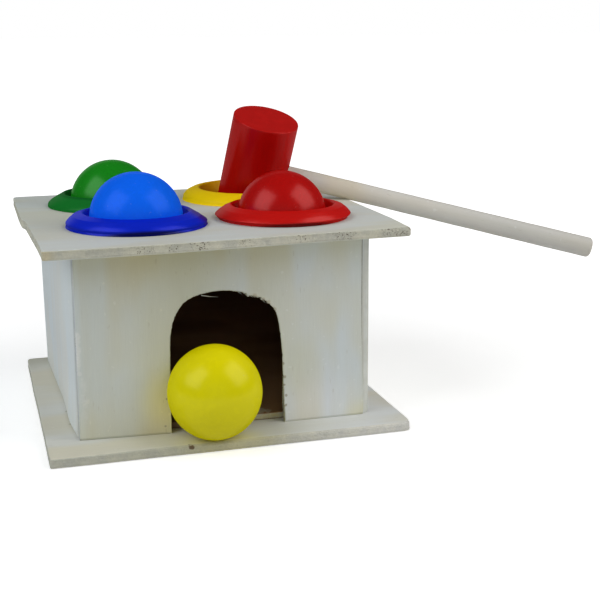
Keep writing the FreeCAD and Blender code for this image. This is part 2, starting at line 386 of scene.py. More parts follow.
def sanded(point, through):
    """The front arris is sanded rounder than the others, more so towards its right."""
    front_edge = min(1.0, max(0.0, (-55 - point.y) / 3)) * min(1.0, max(0.2, (point.x + 58) / 50))
    return front_edge * 1.1 * max(0.0, (through - 0.6) / 0.4) ** 2.4


base = ply_sheet("base_plywood", Matrix.Identity(4),
                 divided(rounded(base_corners), 0.55), [], BOARD_PLY, WORN_SECTION,
                 wave=0.2, rough=0.12, torn=0.5, seed=3.0, drawn=sanded)
base.data.materials.append(veneer_material(
    "base veneer", GRAIN_ALONG_X, (0.715, 0.725, 0.69), (0.70, 0.675, 0.565), 0.45, 0.25,
    stains=[((-0.0158, -0.0588, 0.003), 0.0012, KNOT, 0.85),
            ((-0.0494, -0.0125, 0.003), 0.0010, GLUE_AND_LIT_PATCH, 0.6),
            ((-0.0496, -0.0265, 0.003), 0.0010, GLUE_AND_LIT_PATCH, 0.7)],
    # Painted shade: the face darkens towards the back, under the roof. Painted reflection: a yellow
    # tint by the yellow ball's foot.
    drifts=[("Y", 38, 56, (0.87, 0.855, 0.77)), ("X", 10, 56, (1.07, 1.08, 1.14)),
            ((-6, -58, 3), 18, 5, (1.0, 0.94, 0.60)), ("X", -45, -58, (1.0, 0.99, 0.97))]))
base.data.materials.append(sawn_material(
    "base sawn edge", "Z", 0.0, BOARD_PLY, (0.59, 0.58, 0.46), 0.15, mottle=0.7,
    stains=[((-0.0156, -0.0590, 0.0022), 0.0011, KNOT, 0.9)],
    # The yellow tint towards the yellow ball is a painted reflection of it.
    drifts=[("X", -12, 56, (1.30, 1.30, 1.48)), ("X", -24, -50, (0.93, 0.94, 0.98)),
            ((-2, -59, 2), 22, 8, (1.0, 0.97, 0.82))]))
base.data.materials.append(base.data.materials[0])
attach(base, "house")
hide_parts("base_board")


# Front panel
# A 2.5 mm plywood wall that covers the left wall's end and butts against the right wall. Its arched
# doorway is cut with a coping saw: clean on its left, ragged and splintered on its right shoulder.

WALL_PLY, WALL_FOOT, WALL_TOP, FRONT_INSIDE = 2.5, BOARD_PLY, 65.0, -42.5
FRONT = Matrix(((1, 0, 0, 0), (0, 0, -1, FRONT_INSIDE), (0, 1, 0, 0), (0, 0, 0, 1)))
WALL_SECTION = ((0, 0), (0.2, 0), (0.4, 0.02), (0.6, 0.04), (0.78, 0.04), (0.9, 0.12), (1, 0.38))


def smooth_path(points, parts):
    """Points of a smooth path through the given ones, ends included."""
    path = []
    ends = [points[0], *points, points[-1]]
    for a, b, c, d in zip(ends, ends[1:], ends[2:], ends[3:]):
        a, b, c, d = Vector(a), Vector(b), Vector(c), Vector(d)
        for part in range(parts):
            t = part / parts
            path.append(0.5 * (2 * b + (c - a) * t + (2 * a - 5 * b + 4 * c - d) * t * t
                               + (3 * b - a - 3 * c + d) * t ** 3))
    return [*path, Vector(points[-1])]


saw_path = [(18.9, WALL_FOOT), (18.6, 10.3), (18.4, 17.3), (18.1, 27.7), (17.5, 34.4), (16.9, 38.3),
            (15.9, 41.2), (13.5, 44.1), (10.5, 45.9), (7.4, 47.0), (4.3, 48.2), (0.6, 48.9),
            (-3.9, 49.0), (-7.8, 48.4), (-11.4, 47.4), (-14.6, 45.3), (-17.2, 41.2),
            (-18.5, 36.4), (-18.9, 31.0), (-19.1, 20.0), (-19.2, 10.0), (-19.2, WALL_FOOT)]
ragged = []
for point in smooth_path(saw_path, 24):
    shoulder = max(0.0, 1 - ((point.x - 9) / 9) ** 2) if point.y > 40 else 0.0
    left_cut = 1.0 if point.x < -6 and point.y > 34 else 0.0
    jamb = 1.0 if point.x > 17 and point.y < 34 else 0.0
    bite = noise.noise(Vector((point.x * 1.3, point.y * 1.3, 4.0)))
    tooth = noise.noise(Vector((point.x * 3.6, point.y * 3.6, 9.0)))
    nick = max(0.0, noise.noise(Vector((2.0, point.y * 1.1, 6.0))) - 0.25)
    shift = shoulder * (0.6 * bite + 0.7 * tooth) + left_cut * 0.22 * tooth + 0.08 * tooth
    centre = Vector((0, min(point.y, 36.0)))
    ragged.append(point + (point - centre).normalized() * (shift + jamb * 0.9 * nick))
front_outline = [(46.5, 3.05), (46.9, 3.8), (47.0, 6), (46.85, 12), (46.5, 24), (46.43, 42),
                 (46.43, WALL_TOP), (-49.0, WALL_TOP), (-49.0, 3.05), *reversed(ragged)]


def crisp_foot(point, through):
    """The arris of the panel's foot was never sanded."""
    return -0.34 * max(0.0, through - 0.78) / 0.22 if point.y < 3.5 else 0.0


def slanted(x, y, z):
    """How far right the leaning saw cut the inner side of the doorway's right jamb, in mm."""
    share = min(1.0, max(0.0, (x - 8) / 7)) if x < 24 and z < 50 else 0.0
    upright = min(1.0, max(0.2, (z - 8) / 14)) * min(1.0, max(0.0, (49 - z) / 4))
    return 0.95 * share * upright * (45 + y) / 2.5


def bowed(x, z):
    """How far the legs beside the doorway bow back at a place of the panel, in mm."""
    low = max(0.0, 1 - (z - 3) / 44) ** 1.4
    return low * (max(-1.0, 1.0 - 0.07 * (x + 49)) if x < 0 else -1.1)


front = ply_sheet("front_plywood", FRONT, divided(front_outline, 0.64), [], WALL_PLY,
                  WALL_SECTION, wave=0.0, rough=0.05, torn=0.12, seed=11.0, drawn=crisp_foot)
for vertex in front.data.vertices:
    x, y, z = vertex.co / MM
    vertex.co.x += slanted(x, y, z) * MM
    vertex.co.y += bowed(x, z) * MM
FIBRE, NICK, TORN = (0.47, 0.41, 0.29), (0.30, 0.25, 0.17), (0.76, 0.77, 0.74)
front.data.materials.append(veneer_material(
    "front veneer", GRAIN_ALONG_Z, (0.64, 0.67, 0.655), (0.63, 0.615, 0.50), 0.36, 0.35,
    stains=[*[((x, -0.045, z), size, FIBRE, amount) for x, z, size, amount in (
                (0.0095, 0.0468, 0.0009, 0.6), (0.0122, 0.0454, 0.0007, 0.5),
                (0.0139, 0.0442, 0.0009, 0.6), (0.0160, 0.0418, 0.0008, 0.6))],
            *[((x, -0.0455, z), size, NICK, amount) for x, z, size, amount in (
                (0.0187, 0.0232, 0.0005, 0.7), (0.0191, 0.0186, 0.0006, 0.6),
                (0.0190, 0.0158, 0.0005, 0.7), (0.0195, 0.0122, 0.0006, 0.6),
                (0.0193, 0.0088, 0.0007, 0.7), (0.0191, 0.0060, 0.0005, 0.6),
                (-0.0205, 0.0148, 0.0006, 0.7), (-0.0214, 0.0056, 0.0005, 0.6))],
            *[((-0.0486 + 0.0001 * (step * 7 % 4), -0.045, 0.0385 - 0.0010 * step),
               0.0008 + 0.0001 * (step * 3 % 4), TORN, 0.55) for step in range(14)],
            *[((-0.0475 + 0.0002 * (step * 5 % 4), -0.0452, 0.0235 - 0.0013 * step),
               0.0010 + 0.0002 * (step * 3 % 4), TORN, 0.22) for step in range(13)]],
    # Painted shade: darker and warmer under the roof's overhang and above the doorway, a dark line
    # along the foot, and darker in the seam at the left end. Painted light: lighter beside that
    # seam and towards the foot, and a yellow glow by the doorway that paints the yellow ball's
    # reflection.
    drifts=[("Z", 48, 64, (0.94, 0.895, 0.76)), ("X", -46.6, -48.2, (1.02, 1.04, 1.08)),
            ("X", -48.3, -48.8, (0.88, 0.89, 0.89)),
            ("X", 8, 44, (1.04, 1.05, 1.07)), ("X", -30, -46, (0.97, 0.97, 0.95)),
            ("X", 6, -14, (0.96, 0.93, 0.80)), ("X", -24, -36, (1.04, 1.08, 1.23)),
            ("X", 2, 18, (1.03, 1.06, 1.13)), ("X", 30, 38, (0.98, 0.97, 0.93)),
            ("Z", 22, 3, (1.09, 1.05, 0.96)), ((28, -45, 0), 26, 6, (1.10, 1.10, 1.20)),
            ((-17.5, -46, 14), 15, 3, (1.22, 1.14, 0.74)), ("Z", 3.9, 3.2, (0.74, 0.74, 0.70)),
            ((0, -45, 58), 26, 14, (0.95, 0.95, 0.93)), ((22, -45, 22), 14, 4, (0.97, 0.96, 0.90)),
            ((46, -45, 2), 9, 2, (1.02, 0.99, 0.86))]))
front.data.materials.append(sawn_material(
    "front sawn edge", "Y", FRONT_INSIDE - WALL_PLY, WALL_PLY, (0.60, 0.575, 0.40), 0.6,
    drifts=[("X", -47.0, -48.6, (1.05, 1.12, 1.50)), ("X", 44.5, 46.0, (1.0, 1.04, 1.2)),
            # darker towards the inner face: painted shade inside the house
            ("Y", -44.3, -42.9, (0.76, 0.77, 0.77))]))
# Inner faces: a dark reddish brown that paints the shade inside the house.
INSIDE = (0.21, 0.112, 0.050), (0.15, 0.074, 0.030)
shaded_inner_face = veneer_material("inner veneer painted shade", GRAIN_ALONG_Z, *INSIDE, 0.5, 0.0, streaks=0.02)
front.data.materials.append(shaded_inner_face)
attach(front, "house")
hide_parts("front_panel")


def splinter(name, points, width, material):
    """Loose fibre of wood: a flat, tapered sliver along its points, in mm."""
    bm = bmesh.new()
    rings = []
    last = len(points) - 1
    for index, point in enumerate(points):
        half = width * (1 - 0.85 * index / last) / 2
        centre = Vector(point)
        corners = ((-half, 0.6), (half, 0.6), (half, -0.6), (-half, -0.6))
        rings.append([bm.verts.new((centre + Vector((0.35 * a, b * half, a))) * MM)
                      for a, b in corners])
    for low, high in zip(rings, rings[1:]):
        for index in range(4):
            after = (index + 1) % 4
            bm.faces.new((low[index], low[after], high[after], high[index]))
    bm.faces.new(reversed(rings[0]))
    bm.faces.new(rings[-1])
    fibre = made_of(bm, name)
    fibre.data.materials.append(material)
    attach(fibre, "house")


splinters = [
    [(-8.3, -44.6, 48.0), (-6.6, -44.7, 47.7), (-5.0, -44.8, 47.4), (-2.9, -44.9, 47.2)],
    [(3.4, -44.8, 48.8), (4.3, -44.9, 48.0), (5.0, -45.0, 47.5)],
    [(6.6, -44.8, 47.5), (7.9, -44.9, 46.8), (8.6, -45.0, 46.3)],
    [(11.8, -44.8, 45.4), (12.4, -44.9, 44.6), (12.7, -45.0, 44.1)],
]
for number, points in enumerate(splinters):
    splinter("splinter_%d" % (number + 1), points, 0.2, front.data.materials[0])


# Side and back walls
# Three more walls like the first. Each covers the end of the next and butts against the one before
# it, glued, with its free arris rounded by sanding. The left wall leans out a little at the back.

SIDE_SECTION = ((0, 0.1), (0.2, 0), (0.4, 0.02), (0.6, 0.1), (0.78, 0.25), (0.9, 0.4), (1, 0.7))
side_walls = (
    ("left", Matrix(((0, 0, -1, -46.5), (1, 0, 0, 0), (0, 1, 0, 0), (0, 0, 0, 1))), -49.0,
     -42.45, 53.0, (0.635, 0.695, 0.715), (0.655, 0.68, 0.66), 0.28,
     # Painted light: lighter towards the front end and the foot. Painted shade: darker at the front
     # end, in the seam with the front panel.
     [("Y", 12, -26, (1.05, 1.045, 1.035)), ("Y", -37, -42.5, (0.95, 0.95, 0.95)),
      ("Y", -40.4, -42.2, (0.78, 0.79, 0.79)), ("Z", 26, 4, (1.11, 1.09, 1.05)),
      ("Z", 44, 12, (1.02, 1.02, 1.03))]),
    ("right", Matrix(((0, 0, 1, 46.5), (1, 0, 0, 0), (0, 1, 0, 0), (0, 0, 0, 1))), 46.5,
     -44.85, 50.45, (0.65, 0.68, 0.66), (0.645, 0.64, 0.565), 0.4, []),
)
for side, place, low_x, front_end, back_end, cool, warm, patches, drifts in side_walls:
    side_outline = [(front_end, WALL_FOOT), (back_end, WALL_FOOT), (back_end, WALL_TOP),
                    (front_end, WALL_TOP)]
    wall = ply_sheet(side + "_plywood", place, divided(side_outline, 0.75), [], WALL_PLY,
                     SIDE_SECTION, wave=0.12, rough=0.05, torn=0.1, seed=20.0 + low_x)
    if side == "left":
        for vertex in wall.data.vertices:
            back_share = (vertex.co.y / MM - front_end) / (back_end - front_end)
            vertex.co.x -= (0.3 + 0.0125 * (vertex.co.z / MM - 7)) * back_share * MM
            height, depth = vertex.co.z / MM - WALL_FOOT, vertex.co.y / MM
            bulge = math.exp(-((depth + 26) / 16) ** 2) * math.exp(-height / 18)
            vertex.co.x -= 1.0 * bulge * MM
            near_end = max(0.0, 1 - (depth - front_end) / 12)
            vertex.co.y += bowed(-49, height + WALL_FOOT) * near_end * MM
    wall.data.materials.append(veneer_material(
        side + " veneer", GRAIN_ALONG_Z, cool, warm, patches, 0.4, drifts=drifts))
    wall.data.materials.append(sawn_material(
        side + " sawn edge", "X", low_x, WALL_PLY, (0.70, 0.72, 0.68), 0.0, mottle=0.3,
        drifts=[((49, -45, 3), 32, 8, (1.14, 1.14, 1.14))]))
    wall.data.materials.append(shaded_inner_face)
    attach(wall, "house")
    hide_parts(side + "_side_panel")

BACK_INSIDE = 50.5
BACK = Matrix(((1, 0, 0, 0), (0, 0, 1, BACK_INSIDE), (0, 1, 0, 0), (0, 0, 0, 1)))
back_outline = [(-46.75, WALL_FOOT), (49.0, WALL_FOOT), (49.0, WALL_TOP), (-47.5, WALL_TOP)]
back = ply_sheet("back_plywood", BACK, divided(back_outline, 0.8), [], WALL_PLY, WALL_SECTION,
                 wave=0.0, rough=0.05, torn=0.12, seed=31.0)
back.data.materials.append(veneer_material(
    "back veneer", GRAIN_ALONG_Z, (0.65, 0.67, 0.64), (0.64, 0.63, 0.545), 0.45, 0.6))
back.data.materials.append(sawn_material(
    "back sawn edge", "Y", BACK_INSIDE, WALL_PLY, (0.62, 0.60, 0.47), 0.4))
back.data.materials.append(shaded_inner_face)
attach(back, "house")
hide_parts("back_panel")


# Sloping floor
# A plywood board glued between the side walls at 16 degrees. Its square low edge stands just behind
# the doorway as a little step, pale at the sawn edge, painted darker towards the left as shade. Its
# face is a dark reddish brown that paints the shade inside the house, with pale patches by the
# doorway painted as light.

RAMP_ANGLE, RAMP_GAP, RAMP_PLY = math.radians(16), 0.2, 2.5
ramp_foot = Vector((0, FRONT_INSIDE + RAMP_GAP + RAMP_PLY * math.sin(RAMP_ANGLE), BOARD_PLY))
ramp_length = (BACK_INSIDE - RAMP_GAP - ramp_foot.y) / math.cos(RAMP_ANGLE)
ramp_place = Matrix.Translation(ramp_foot) @ Matrix.Rotation(RAMP_ANGLE, 4, "X")
ramp_outline = [(-46.4, 0), (46.4, 0), (46.4, ramp_length), (-46.4, ramp_length)]
RAMP_SECTION = ((0, 0.15), (0.12, 0.03), (0.3, 0.03), (0.5, 0.06), (0.7, 0.03), (0.9, 0.04),
                (1, 0.22))
ramp = ply_sheet("ramp_plywood", ramp_place, divided(ramp_outline, 0.8), [], RAMP_PLY,
                 RAMP_SECTION, wave=0.0, rough=0.08, torn=0.2, seed=41.0)
shaded_ramp_face = veneer_material(
    "ramp veneer painted shade", GRAIN_ALONG_X, *INSIDE, 0.4, 0.0, streaks=0.02,
    # two pale patches by the doorway: painted light falling in through it
    stains=[((0.0120, -0.0405, 0.0060), 0.0022, GLUE_AND_LIT_PATCH, 0.5),
            ((0.0145, -0.0410, 0.0058), 0.0013, GLUE_AND_LIT_PATCH, 0.4)])
ramp.data.materials.append(shaded_ramp_face)
ramp.data.materials.append(sawn_material(
    "ramp sawn edge", "Z", 3.0, 2.4, (0.54, 0.46, 0.19), 0.1,
    # darker and redder towards the left: painted shade
    drifts=[("X", -10, -18, (0.40, 0.27, 0.25))]))
ramp.data.materials.append(shaded_ramp_face)
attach(ramp, "house")
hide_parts("ramp_board")


# Top board
# The overhanging roof of the house: 3 mm plywood with a drilled hole for each ring. It was sawn a
# little out of square, with a nick in its left edge where the saw changed direction.

TOP = Matrix.Translation((0, 0, WALL_TOP))
HOLE_RADIUS, HOLE_POINTS = 18.0, 120
ring_places = {"green": (-24.75, 28.0), "blue": (-24.75, -20.0), "red": (25.75, -20.0),
               "yellow": (25.75, 28.0)}
top_corners = [(-59.3, -58.8, 0.9), (-27.0, -58.8, 8), (4.8, -56.7, 8), (31.6, -54.8, 8),
               (60.9, -53.8, 2.8), (60.6, 57.3, 2.8), (-58.9, 57.3, 3.0), (-59.5, 32.0, 6),
               (-59.95, 15.0, 5), (-59.95, 2.5, 1.5), (-59.1, -1.5, 1.8), (-59.1, -40.0, 8)]
sawn_top = divided(rounded(top_corners), 0.55)
drilled = []
for x, y in ring_places.values():
    turns = [-k * math.tau / HOLE_POINTS for k in range(HOLE_POINTS)]
    drilled.append([Vector((x + HOLE_RADIUS * math.cos(turn), y + HOLE_RADIUS * math.sin(turn)))
                    for turn in turns])


def worn_round(point, through):
    """The front right corner is worn round, mostly from above."""
    corner = min(1.0, max(0.0, (point.x - 34) / 24)) * min(1.0, max(0.0, (-34 - point.y) / 18))
    upper, lower = max(0.0, 2 * through - 1), max(0.0, 1 - 2 * through)
    return corner * (1.0 * upper ** 2.6 + 0.12 * lower ** 3)


top = ply_sheet("top_plywood", TOP, sawn_top, drilled, BOARD_PLY, WORN_SECTION,
                wave=0.3, rough=0.14, torn=0.6, seed=57.0, drawn=worn_round)
top.data.materials.append(veneer_material(
    "top veneer", GRAIN_ALONG_X, (0.645, 0.675, 0.655), (0.635, 0.63, 0.54), 0.35, 0.3,
    drifts=[("Y", 18, 52, (0.925, 0.925, 0.915)), ("X", 24, 58, (1.06, 1.065, 1.055)),
            ("Y", -34, -56, (1.025, 1.02, 1.005)), ((-54, 16, 68), 56, 22, (0.94, 0.955, 0.94))]))
torn_places = [((-0.0295, -0.0586, 0.0664), 0.0018), ((-0.0265, -0.0586, 0.0664), 0.0016),
               ((-0.0200, -0.0586, 0.0674), 0.0022), ((-0.0110, -0.0587, 0.0673), 0.0040),
               ((0.0035, -0.0582, 0.0670), 0.0030), ((0.0225, -0.0562, 0.0671), 0.0026),
               ((0.0370, -0.0553, 0.0668), 0.0045),
               ((0.054, -0.0546, 0.0668), 0.0060), ((-0.0592, 0.02, 0.0665), 0.0050)]
top.data.materials.append(sawn_material(
    "top sawn edge", "Z", WALL_TOP, BOARD_PLY, (0.60, 0.585, 0.47), 0.25, clusters=torn_places,
    drifts=[("X", -32, 12, (1.11, 1.10, 1.11)), ("X", 20, 45, (0.95, 0.95, 0.94)),
            ((-59, -59, 66.5), 5, 1, (1.0, 0.93, 0.80))]))
top.data.materials.append(top.data.materials[0])
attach(top, "house")
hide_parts("top_board")


# Elastic rings
# Four moulded rings of soft, satin plastic, pressed into the holes of the top board. Each has a
# sloping flange with a crisp fold and an undercut rim, a dished seat for its ball, and a snap lip.

# Inputs of every group for a coating: plastic here, and the paints of balls and hammer below.
COATING = [("Vector", "Vector", None), ("Colour", "Color", None), ("Gloss", "Float", 0.35)]
moulded, given, result = shader_group("moulded plastic", COATING)
flow = noisy(moulded, given["Vector"], 90.0, 3.0)
scuffs = noisy(moulded, stretched(moulded, given["Vector"], (420, 900, 500)), 1.0, 4.0, 0.7)
peel = noisy(moulded, given["Vector"], 1700.0, 1.0)
shade = maths(moulded, "MULTIPLY_ADD", flow, 0.16, 0.92)
moulded.links.new(shaded(moulded, given["Colour"], shade), result["Color"])
rub = maths(moulded, "MULTIPLY", ramped(moulded, scuffs, 0.50, 0.72), 0.10)
moulded.links.new(maths(moulded, "ADD", given["Gloss"], rub), result["Roughness"])
moulded.links.new(maths(moulded, "MULTIPLY_ADD", scuffs, 0.3, peel), result["Height"])


def lathe(name, profile, steps, place, closed):
    """Turned body with so many steps round; place puts it in the toy.

    profile lists (radius, height) in mm, and closed joins its end to its start, for a ring.
    """
    bm = bmesh.new()
    rings = []
    for radius, height in profile:
        if radius < 1e-6:
            rings.append([bm.verts.new(place @ Vector((0, 0, height)) * MM)])
            continue
        rings.append([bm.verts.new(place @ Vector((radius * math.cos(k * math.tau / steps),
                                                   radius * math.sin(k * math.tau / steps),
                                                   height)) * MM) for k in range(steps)])
    pairs = list(zip(rings, rings[1:]))
    if closed:
        pairs.append((rings[-1], rings[0]))
    for low, high in pairs:
        for k in range(steps):
            after = (k + 1) % steps
            if len(low) == 1:
                corners = (low[0], high[after], high[k])
            elif len(high) == 1:
                corners = (low[k], low[after], high[0])
            else:
                corners = (low[k], low[after], high[after], high[k])
            bm.faces.new(corners).smooth = True
    return made_of(bm, name)


def coated(name, group, tint, gloss, relief, glosses, drifts, turn=None):
    """Coloured coating whose highlights show some of its own colour under a little clear gloss.

    glosses holds the share of its own colour and of the clear gloss, relief is the strength and
    depth of its bumps, and turn lays the piece's length along the group's Z.
    """
    material, tree, shader, coordinates = principled(name, 0.0)
    if turn:
        coordinates = add(tree, "Mapping", {"Vector": coordinates, "Rotation": turn}).outputs[0]
    look = placed(tree, group, {"Vector": coordinates, "Colour": (*tint, 1), "Gloss": gloss})
    tone = marked(tree, coordinates, look.outputs["Color"], (), drifts)
    surface(tree, shader, look, tone, *relief)
    shader.inputs["Metallic"].default_value, shader.inputs["Coat Weight"].default_value = glosses
    shader.inputs["Coat IOR"].default_value = 2.6
    shader.inputs["Coat Roughness"].default_value = 0.24
    return material


def bend_points(centre, radius, start, end, parts):
    """Points of an arc, angles in degrees."""
    points = []
    for part in range(parts + 1):
        angle = math.radians(start + (end - start) * part / parts)
        points.append((centre[0] + radius * math.cos(angle), centre[1] + radius * math.sin(angle)))
    return points


def eased(points, radius, parts=4):
    """A closed profile with its corners rounded; each point is (r, z) or (r, z, radius)."""
    path = []
    count = len(points)
    for index, point in enumerate(points):
        corner = Vector(point[:2])
        before = Vector(points[index - 1][:2]) - corner
        after = Vector(points[(index + 1) % count][:2]) - corner
        wanted = point[2] if len(point) > 2 else radius
        reach = min(wanted, 0.45 * before.length, 0.45 * after.length)
        start, end = corner + before.normalized() * reach, corner + after.normalized() * reach
        for part in range(parts + 1):
            t = part / parts
            path.append(tuple(start.lerp(corner, t).lerp(corner.lerp(end, t), t)))
    return path


TOP_FACE, SEAT_RADIUS = WALL_TOP + BOARD_PLY, 15.45
NECK, LIP, LIP_TOP, TAIL_END = 17.6, 18.75, -3.1, -6.3
# Tint, height of the ball's centre, shift in its hole, slant (left, right, back, from which
# radius), glosses, outline of the flange from its crest to its foot, and drifts. The drifts paint
# shade on the green ring's upper slope, under the rims of the blue and red rings and in the yellow
# ring's throat, paint the red ring's reflection on the blue one, darken the red ring's left end and
# lighten the yellow ring's foot.
ring_colours = {
    "green": ((0.009, 0.183, 0.024), 1.0, (-0.2, -0.5), (0.02, 0, 0, 18), (0.04, 0.03),
              [(17.9, 4.72, 0.3), (20.4, 3.75, 0.1), (22.2, 2.55, 0.8), (23.3, 1.3, 0.5),
               (23.5, 0.5, 0.1), (23.5, 0.0, 0.1)],
              # painted shade on the upper slope
              [("Z", 71.8, 72.3, (0.70, 0.75, 0.80))]),
    "blue": ((0.004, 0.021, 0.63), 2.5, (0.5, -0.4), (0.012, -0.05, 0, 18.6), (0.15, 0.05),
             [(17.9, 4.72, 0.3), (21.0, 4.05, 0.1), (22.4, 2.85, 0.6), (23.35, 1.6, 0.4),
              (23.3, 1.05, 0.2), (23.1, 0.75, 0.15), (23.5, 0.0, 0.1)],
             # painted shade low on the rim and under it, and the red ring's painted reflection
             [("Z", 70.2, 69.3, (0.78, 0.78, 0.78)),
              ((-25, -42, 8.9), 61.2, 60.1, (0.12, 0.12, 0.2)),
              ((-2.5, -24.0, 71), 10, 3, (10.0, 0.8, 0.42))]),
    "red": ((0.61, 0.007, 0.005), 0.7, (0.6, 0.2), (0.026, 0, 0, 18), (0.08, 0.09),
            [(17.9, 4.72, 0.3), (20.7, 4.0, 0.1), (22.2, 2.85, 0.5), (23.35, 1.5, 0.3),
             (23.2, 1.1, 0.2), (22.4, 0.85, 0.15), (22.2, 0.0, 0.1)],
            # painted shade under the rim
            [((25, -42, 8.9), 61.1, 60.0, (0.33, 0.33, 0.33)),
             ("X", 9, 3, (0.88, 0.82, 0.88))]),
    "yellow": ((0.97, 0.68, 0.005), 1.6, (-0.5, -0.6), (0, 0, 0.019, 12), (0.03, 0.02),
               [(17.9, 4.45, 0.3), (20.0, 4.0, 0.2), (22.3, 2.9, 0.9), (23.4, 1.6, 0.6),
                (23.6, 0.5, 0.1), (23.8, 0.0, 0.1)],
               [("Z", 69.6, 68.3, (1.16, 1.14, 1.2)),
                # painted shade in the throat
                ((25.75, 28, 71), 18.5, 17.0, (0.73, 0.53, 0.4))]),
}
for colour, (tint, seat_height, askew, lean, glosses, outside, drifts) in ring_colours.items():
    lean_left, lean_right, lean_back, lean_from = lean
    seat = bend_points((0, seat_height), SEAT_RADIUS, -2, -23.5, 10)
    profile = eased(
        [(17.2, outside[0][1] - 0.37, 0.3), *outside,
         (NECK, 0.0, 0.1), (NECK, LIP_TOP, 0.1), (LIP, LIP_TOP, 0.2), (17.0, TAIL_END, 0.3),
         (13.8, TAIL_END, 0.3), *[(r, z, 0.3) for r, z in reversed(seat)]], 0.2)
    middle = Vector((*ring_places[colour], TOP_FACE)) + Vector((*askew, 0))
    ring = lathe(colour + "_elastic", profile, 128, Matrix.Translation(middle), True)
    for vertex in ring.data.vertices:
        aside, along, above = vertex.co / MM - middle
        weight = min(1.0, max(0.0, (math.hypot(aside, along) - lean_from) / 2))
        weight *= min(1.0, max(0.0, (above - 1.0) / 2.5))
        rise = lean_left * min(0.0, aside) + lean_right * max(0.0, aside) + lean_back * along
        vertex.co.z += rise * weight * MM
    ring.data.set_sharp_from_angle(angle=math.radians(35))
    ring.data.materials.append(
        coated(colour + " plastic", moulded, tint, 0.33, (0.12, 0.00006), glosses, drifts))
    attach(ring, "house")
    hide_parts(colour + "_ring")


# Balls
# Turned wooden balls of 30 mm, dipped in thick gloss paint, which leaves a faint orange peel and a
# small dimple at each pole, where a pin held the ball. Balls in a ring are a little flat below.

painted, given, result = shader_group("dipped paint", COATING)
cloud = noisy(painted, given["Vector"], 70.0, 2.0)
peel = noisy(painted, given["Vector"], 420.0, 2.0)
dust = noisy(painted, given["Vector"], 1300.0, 0.0)
tone = shaded(painted, given["Colour"], maths(painted, "MULTIPLY_ADD", cloud, 0.14, 0.93))
motes = ramped(painted, dust, 0.80, 0.86)
tone = blended(painted, maths(painted, "MULTIPLY", motes, 0.06), tone, (0.75, 0.75, 0.72, 1))
painted.links.new(tone, result["Color"])
painted.links.new(maths(painted, "MULTIPLY_ADD", peel, 0.10, given["Gloss"]), result["Roughness"])
painted.links.new(maths(painted, "MULTIPLY_ADD", motes, 0.6, peel), result["Height"])

PROFILE_STEPS, PIN_DIMPLE = 72, 0.25
# Tint, centre, radius round the middle and towards the poles, lean and turn of the poles in
# degrees, glosses and drifts.
ball_paints = {
    "green": ((0.008, 0.262, 0.009), (-25.0, 27.6, 68.95), 15.3, 15.3, (40, 25), (0.09, 0.10), ()),
    "blue": ((0.005, 0.146, 1.0), (-24.35, -20.2, 70.45), 15.45, 15.1, (8, 30), (0.045, 0.03), ()),
    "red": ((0.50, 0.003, 0.002), (25.95, -20.0, 68.65), 15.25, 15.2, (100, 20), (0.09, 0.10), ()),
    "yellow": ((0.765, 0.695, 0.001), (-6.78, -54.6, 18.44), 15.22, 15.42, (12, 115), (0.03, 0.07),
               # painted shade on the lower half and painted light towards the top
               [("Z", 24, 8, (0.90, 0.89, 0.4)), ("Z", 24, 33, (1.11, 1.08, 1.0))]),
}
for colour, (tint, centre, girth, reach, (lean, turn), glosses, drifts) in ball_paints.items():
    profile = []
    for step in range(PROFILE_STEPS + 1):
        angle = math.pi * step / PROFILE_STEPS
        radius = girth + (reach - girth) * math.cos(angle) ** 2
        radius -= PIN_DIMPLE * math.exp(-((min(angle, math.pi - angle) / 0.05) ** 2))
        profile.append((radius * math.sin(angle), -radius * math.cos(angle)))
    profile[0] = (0.0, profile[0][1])
    profile[-1] = (0.0, profile[-1][1])
    place = (Matrix.Translation(centre) @ Matrix.Rotation(math.radians(turn), 4, "Z")
             @ Matrix.Rotation(math.radians(lean), 4, "X"))
    ball = lathe(colour + "_painted_ball", profile, 96, place, False)
    if colour != "yellow":
        for vertex in ball.data.vertices:
            out = vertex.co - Vector(centre) * MM
            vertex.co -= out * 0.075 * max(0.0, -out.z / out.length - 0.4)
    ball.data.materials.append(
        coated(colour + " paint", painted, tint, 0.22, (0.10, 0.00010), glosses, drifts))
    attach(ball, colour + "_ball")
    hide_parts(colour + "_ball")


# Hammer
# A turned beech cylinder with softened rims, brushed with thinner red paint so that its grain just
# shows, and bored for a bare birch dowel that is glued in as the handle.

hammer_x = Vector((0.916586, -0.325120, -0.232737))
hammer_z = Vector((0.120901, -0.329469, 0.936394))
hammer_y = hammer_z.cross(hammer_x)
hammer_place = Matrix.Translation((28.4157, 23.0932, 79.7246)) @ Matrix(
    (hammer_x, hammer_y, hammer_z)).transposed().to_4x4()
head_half, head_radius, handle_radius = 19.85, 12.1, 3.5

rim, bore_radius, bore_depth = 0.4, 3.7, 20.0
quarter_round = [math.pi / 2 * k / 6 for k in range(7)]
side = [(head_radius - rim * (1 - math.sin(t)), head_half - rim * (1 - math.cos(t)))
        for t in quarter_round]
end_face = [(0.0, head_half), (3.0, head_half), (7.0, head_half), (10.0, head_half - 0.01)]
upper = [*end_face, *side]
straight = [(head_radius, head_half - rim - k * (2 * (head_half - rim)) / 24) for k in range(1, 24)]
head_profile = [*upper, *straight, *[(r, -z) for r, z in reversed(upper)]]
head = lathe("hammer_head_wood", head_profile, 128, Matrix.Identity(4), False)
bore = lathe("bore", [(0, 0), (bore_radius, 0), (bore_radius, bore_depth), (0, bore_depth)], 64,
             Matrix.Rotation(math.radians(90), 4, "Y"), False)
cut = head.modifiers.new("bore", "BOOLEAN")
cut.object = bore
cut.operation = "DIFFERENCE"
cut.solver = "EXACT"
bpy.context.view_layer.update()
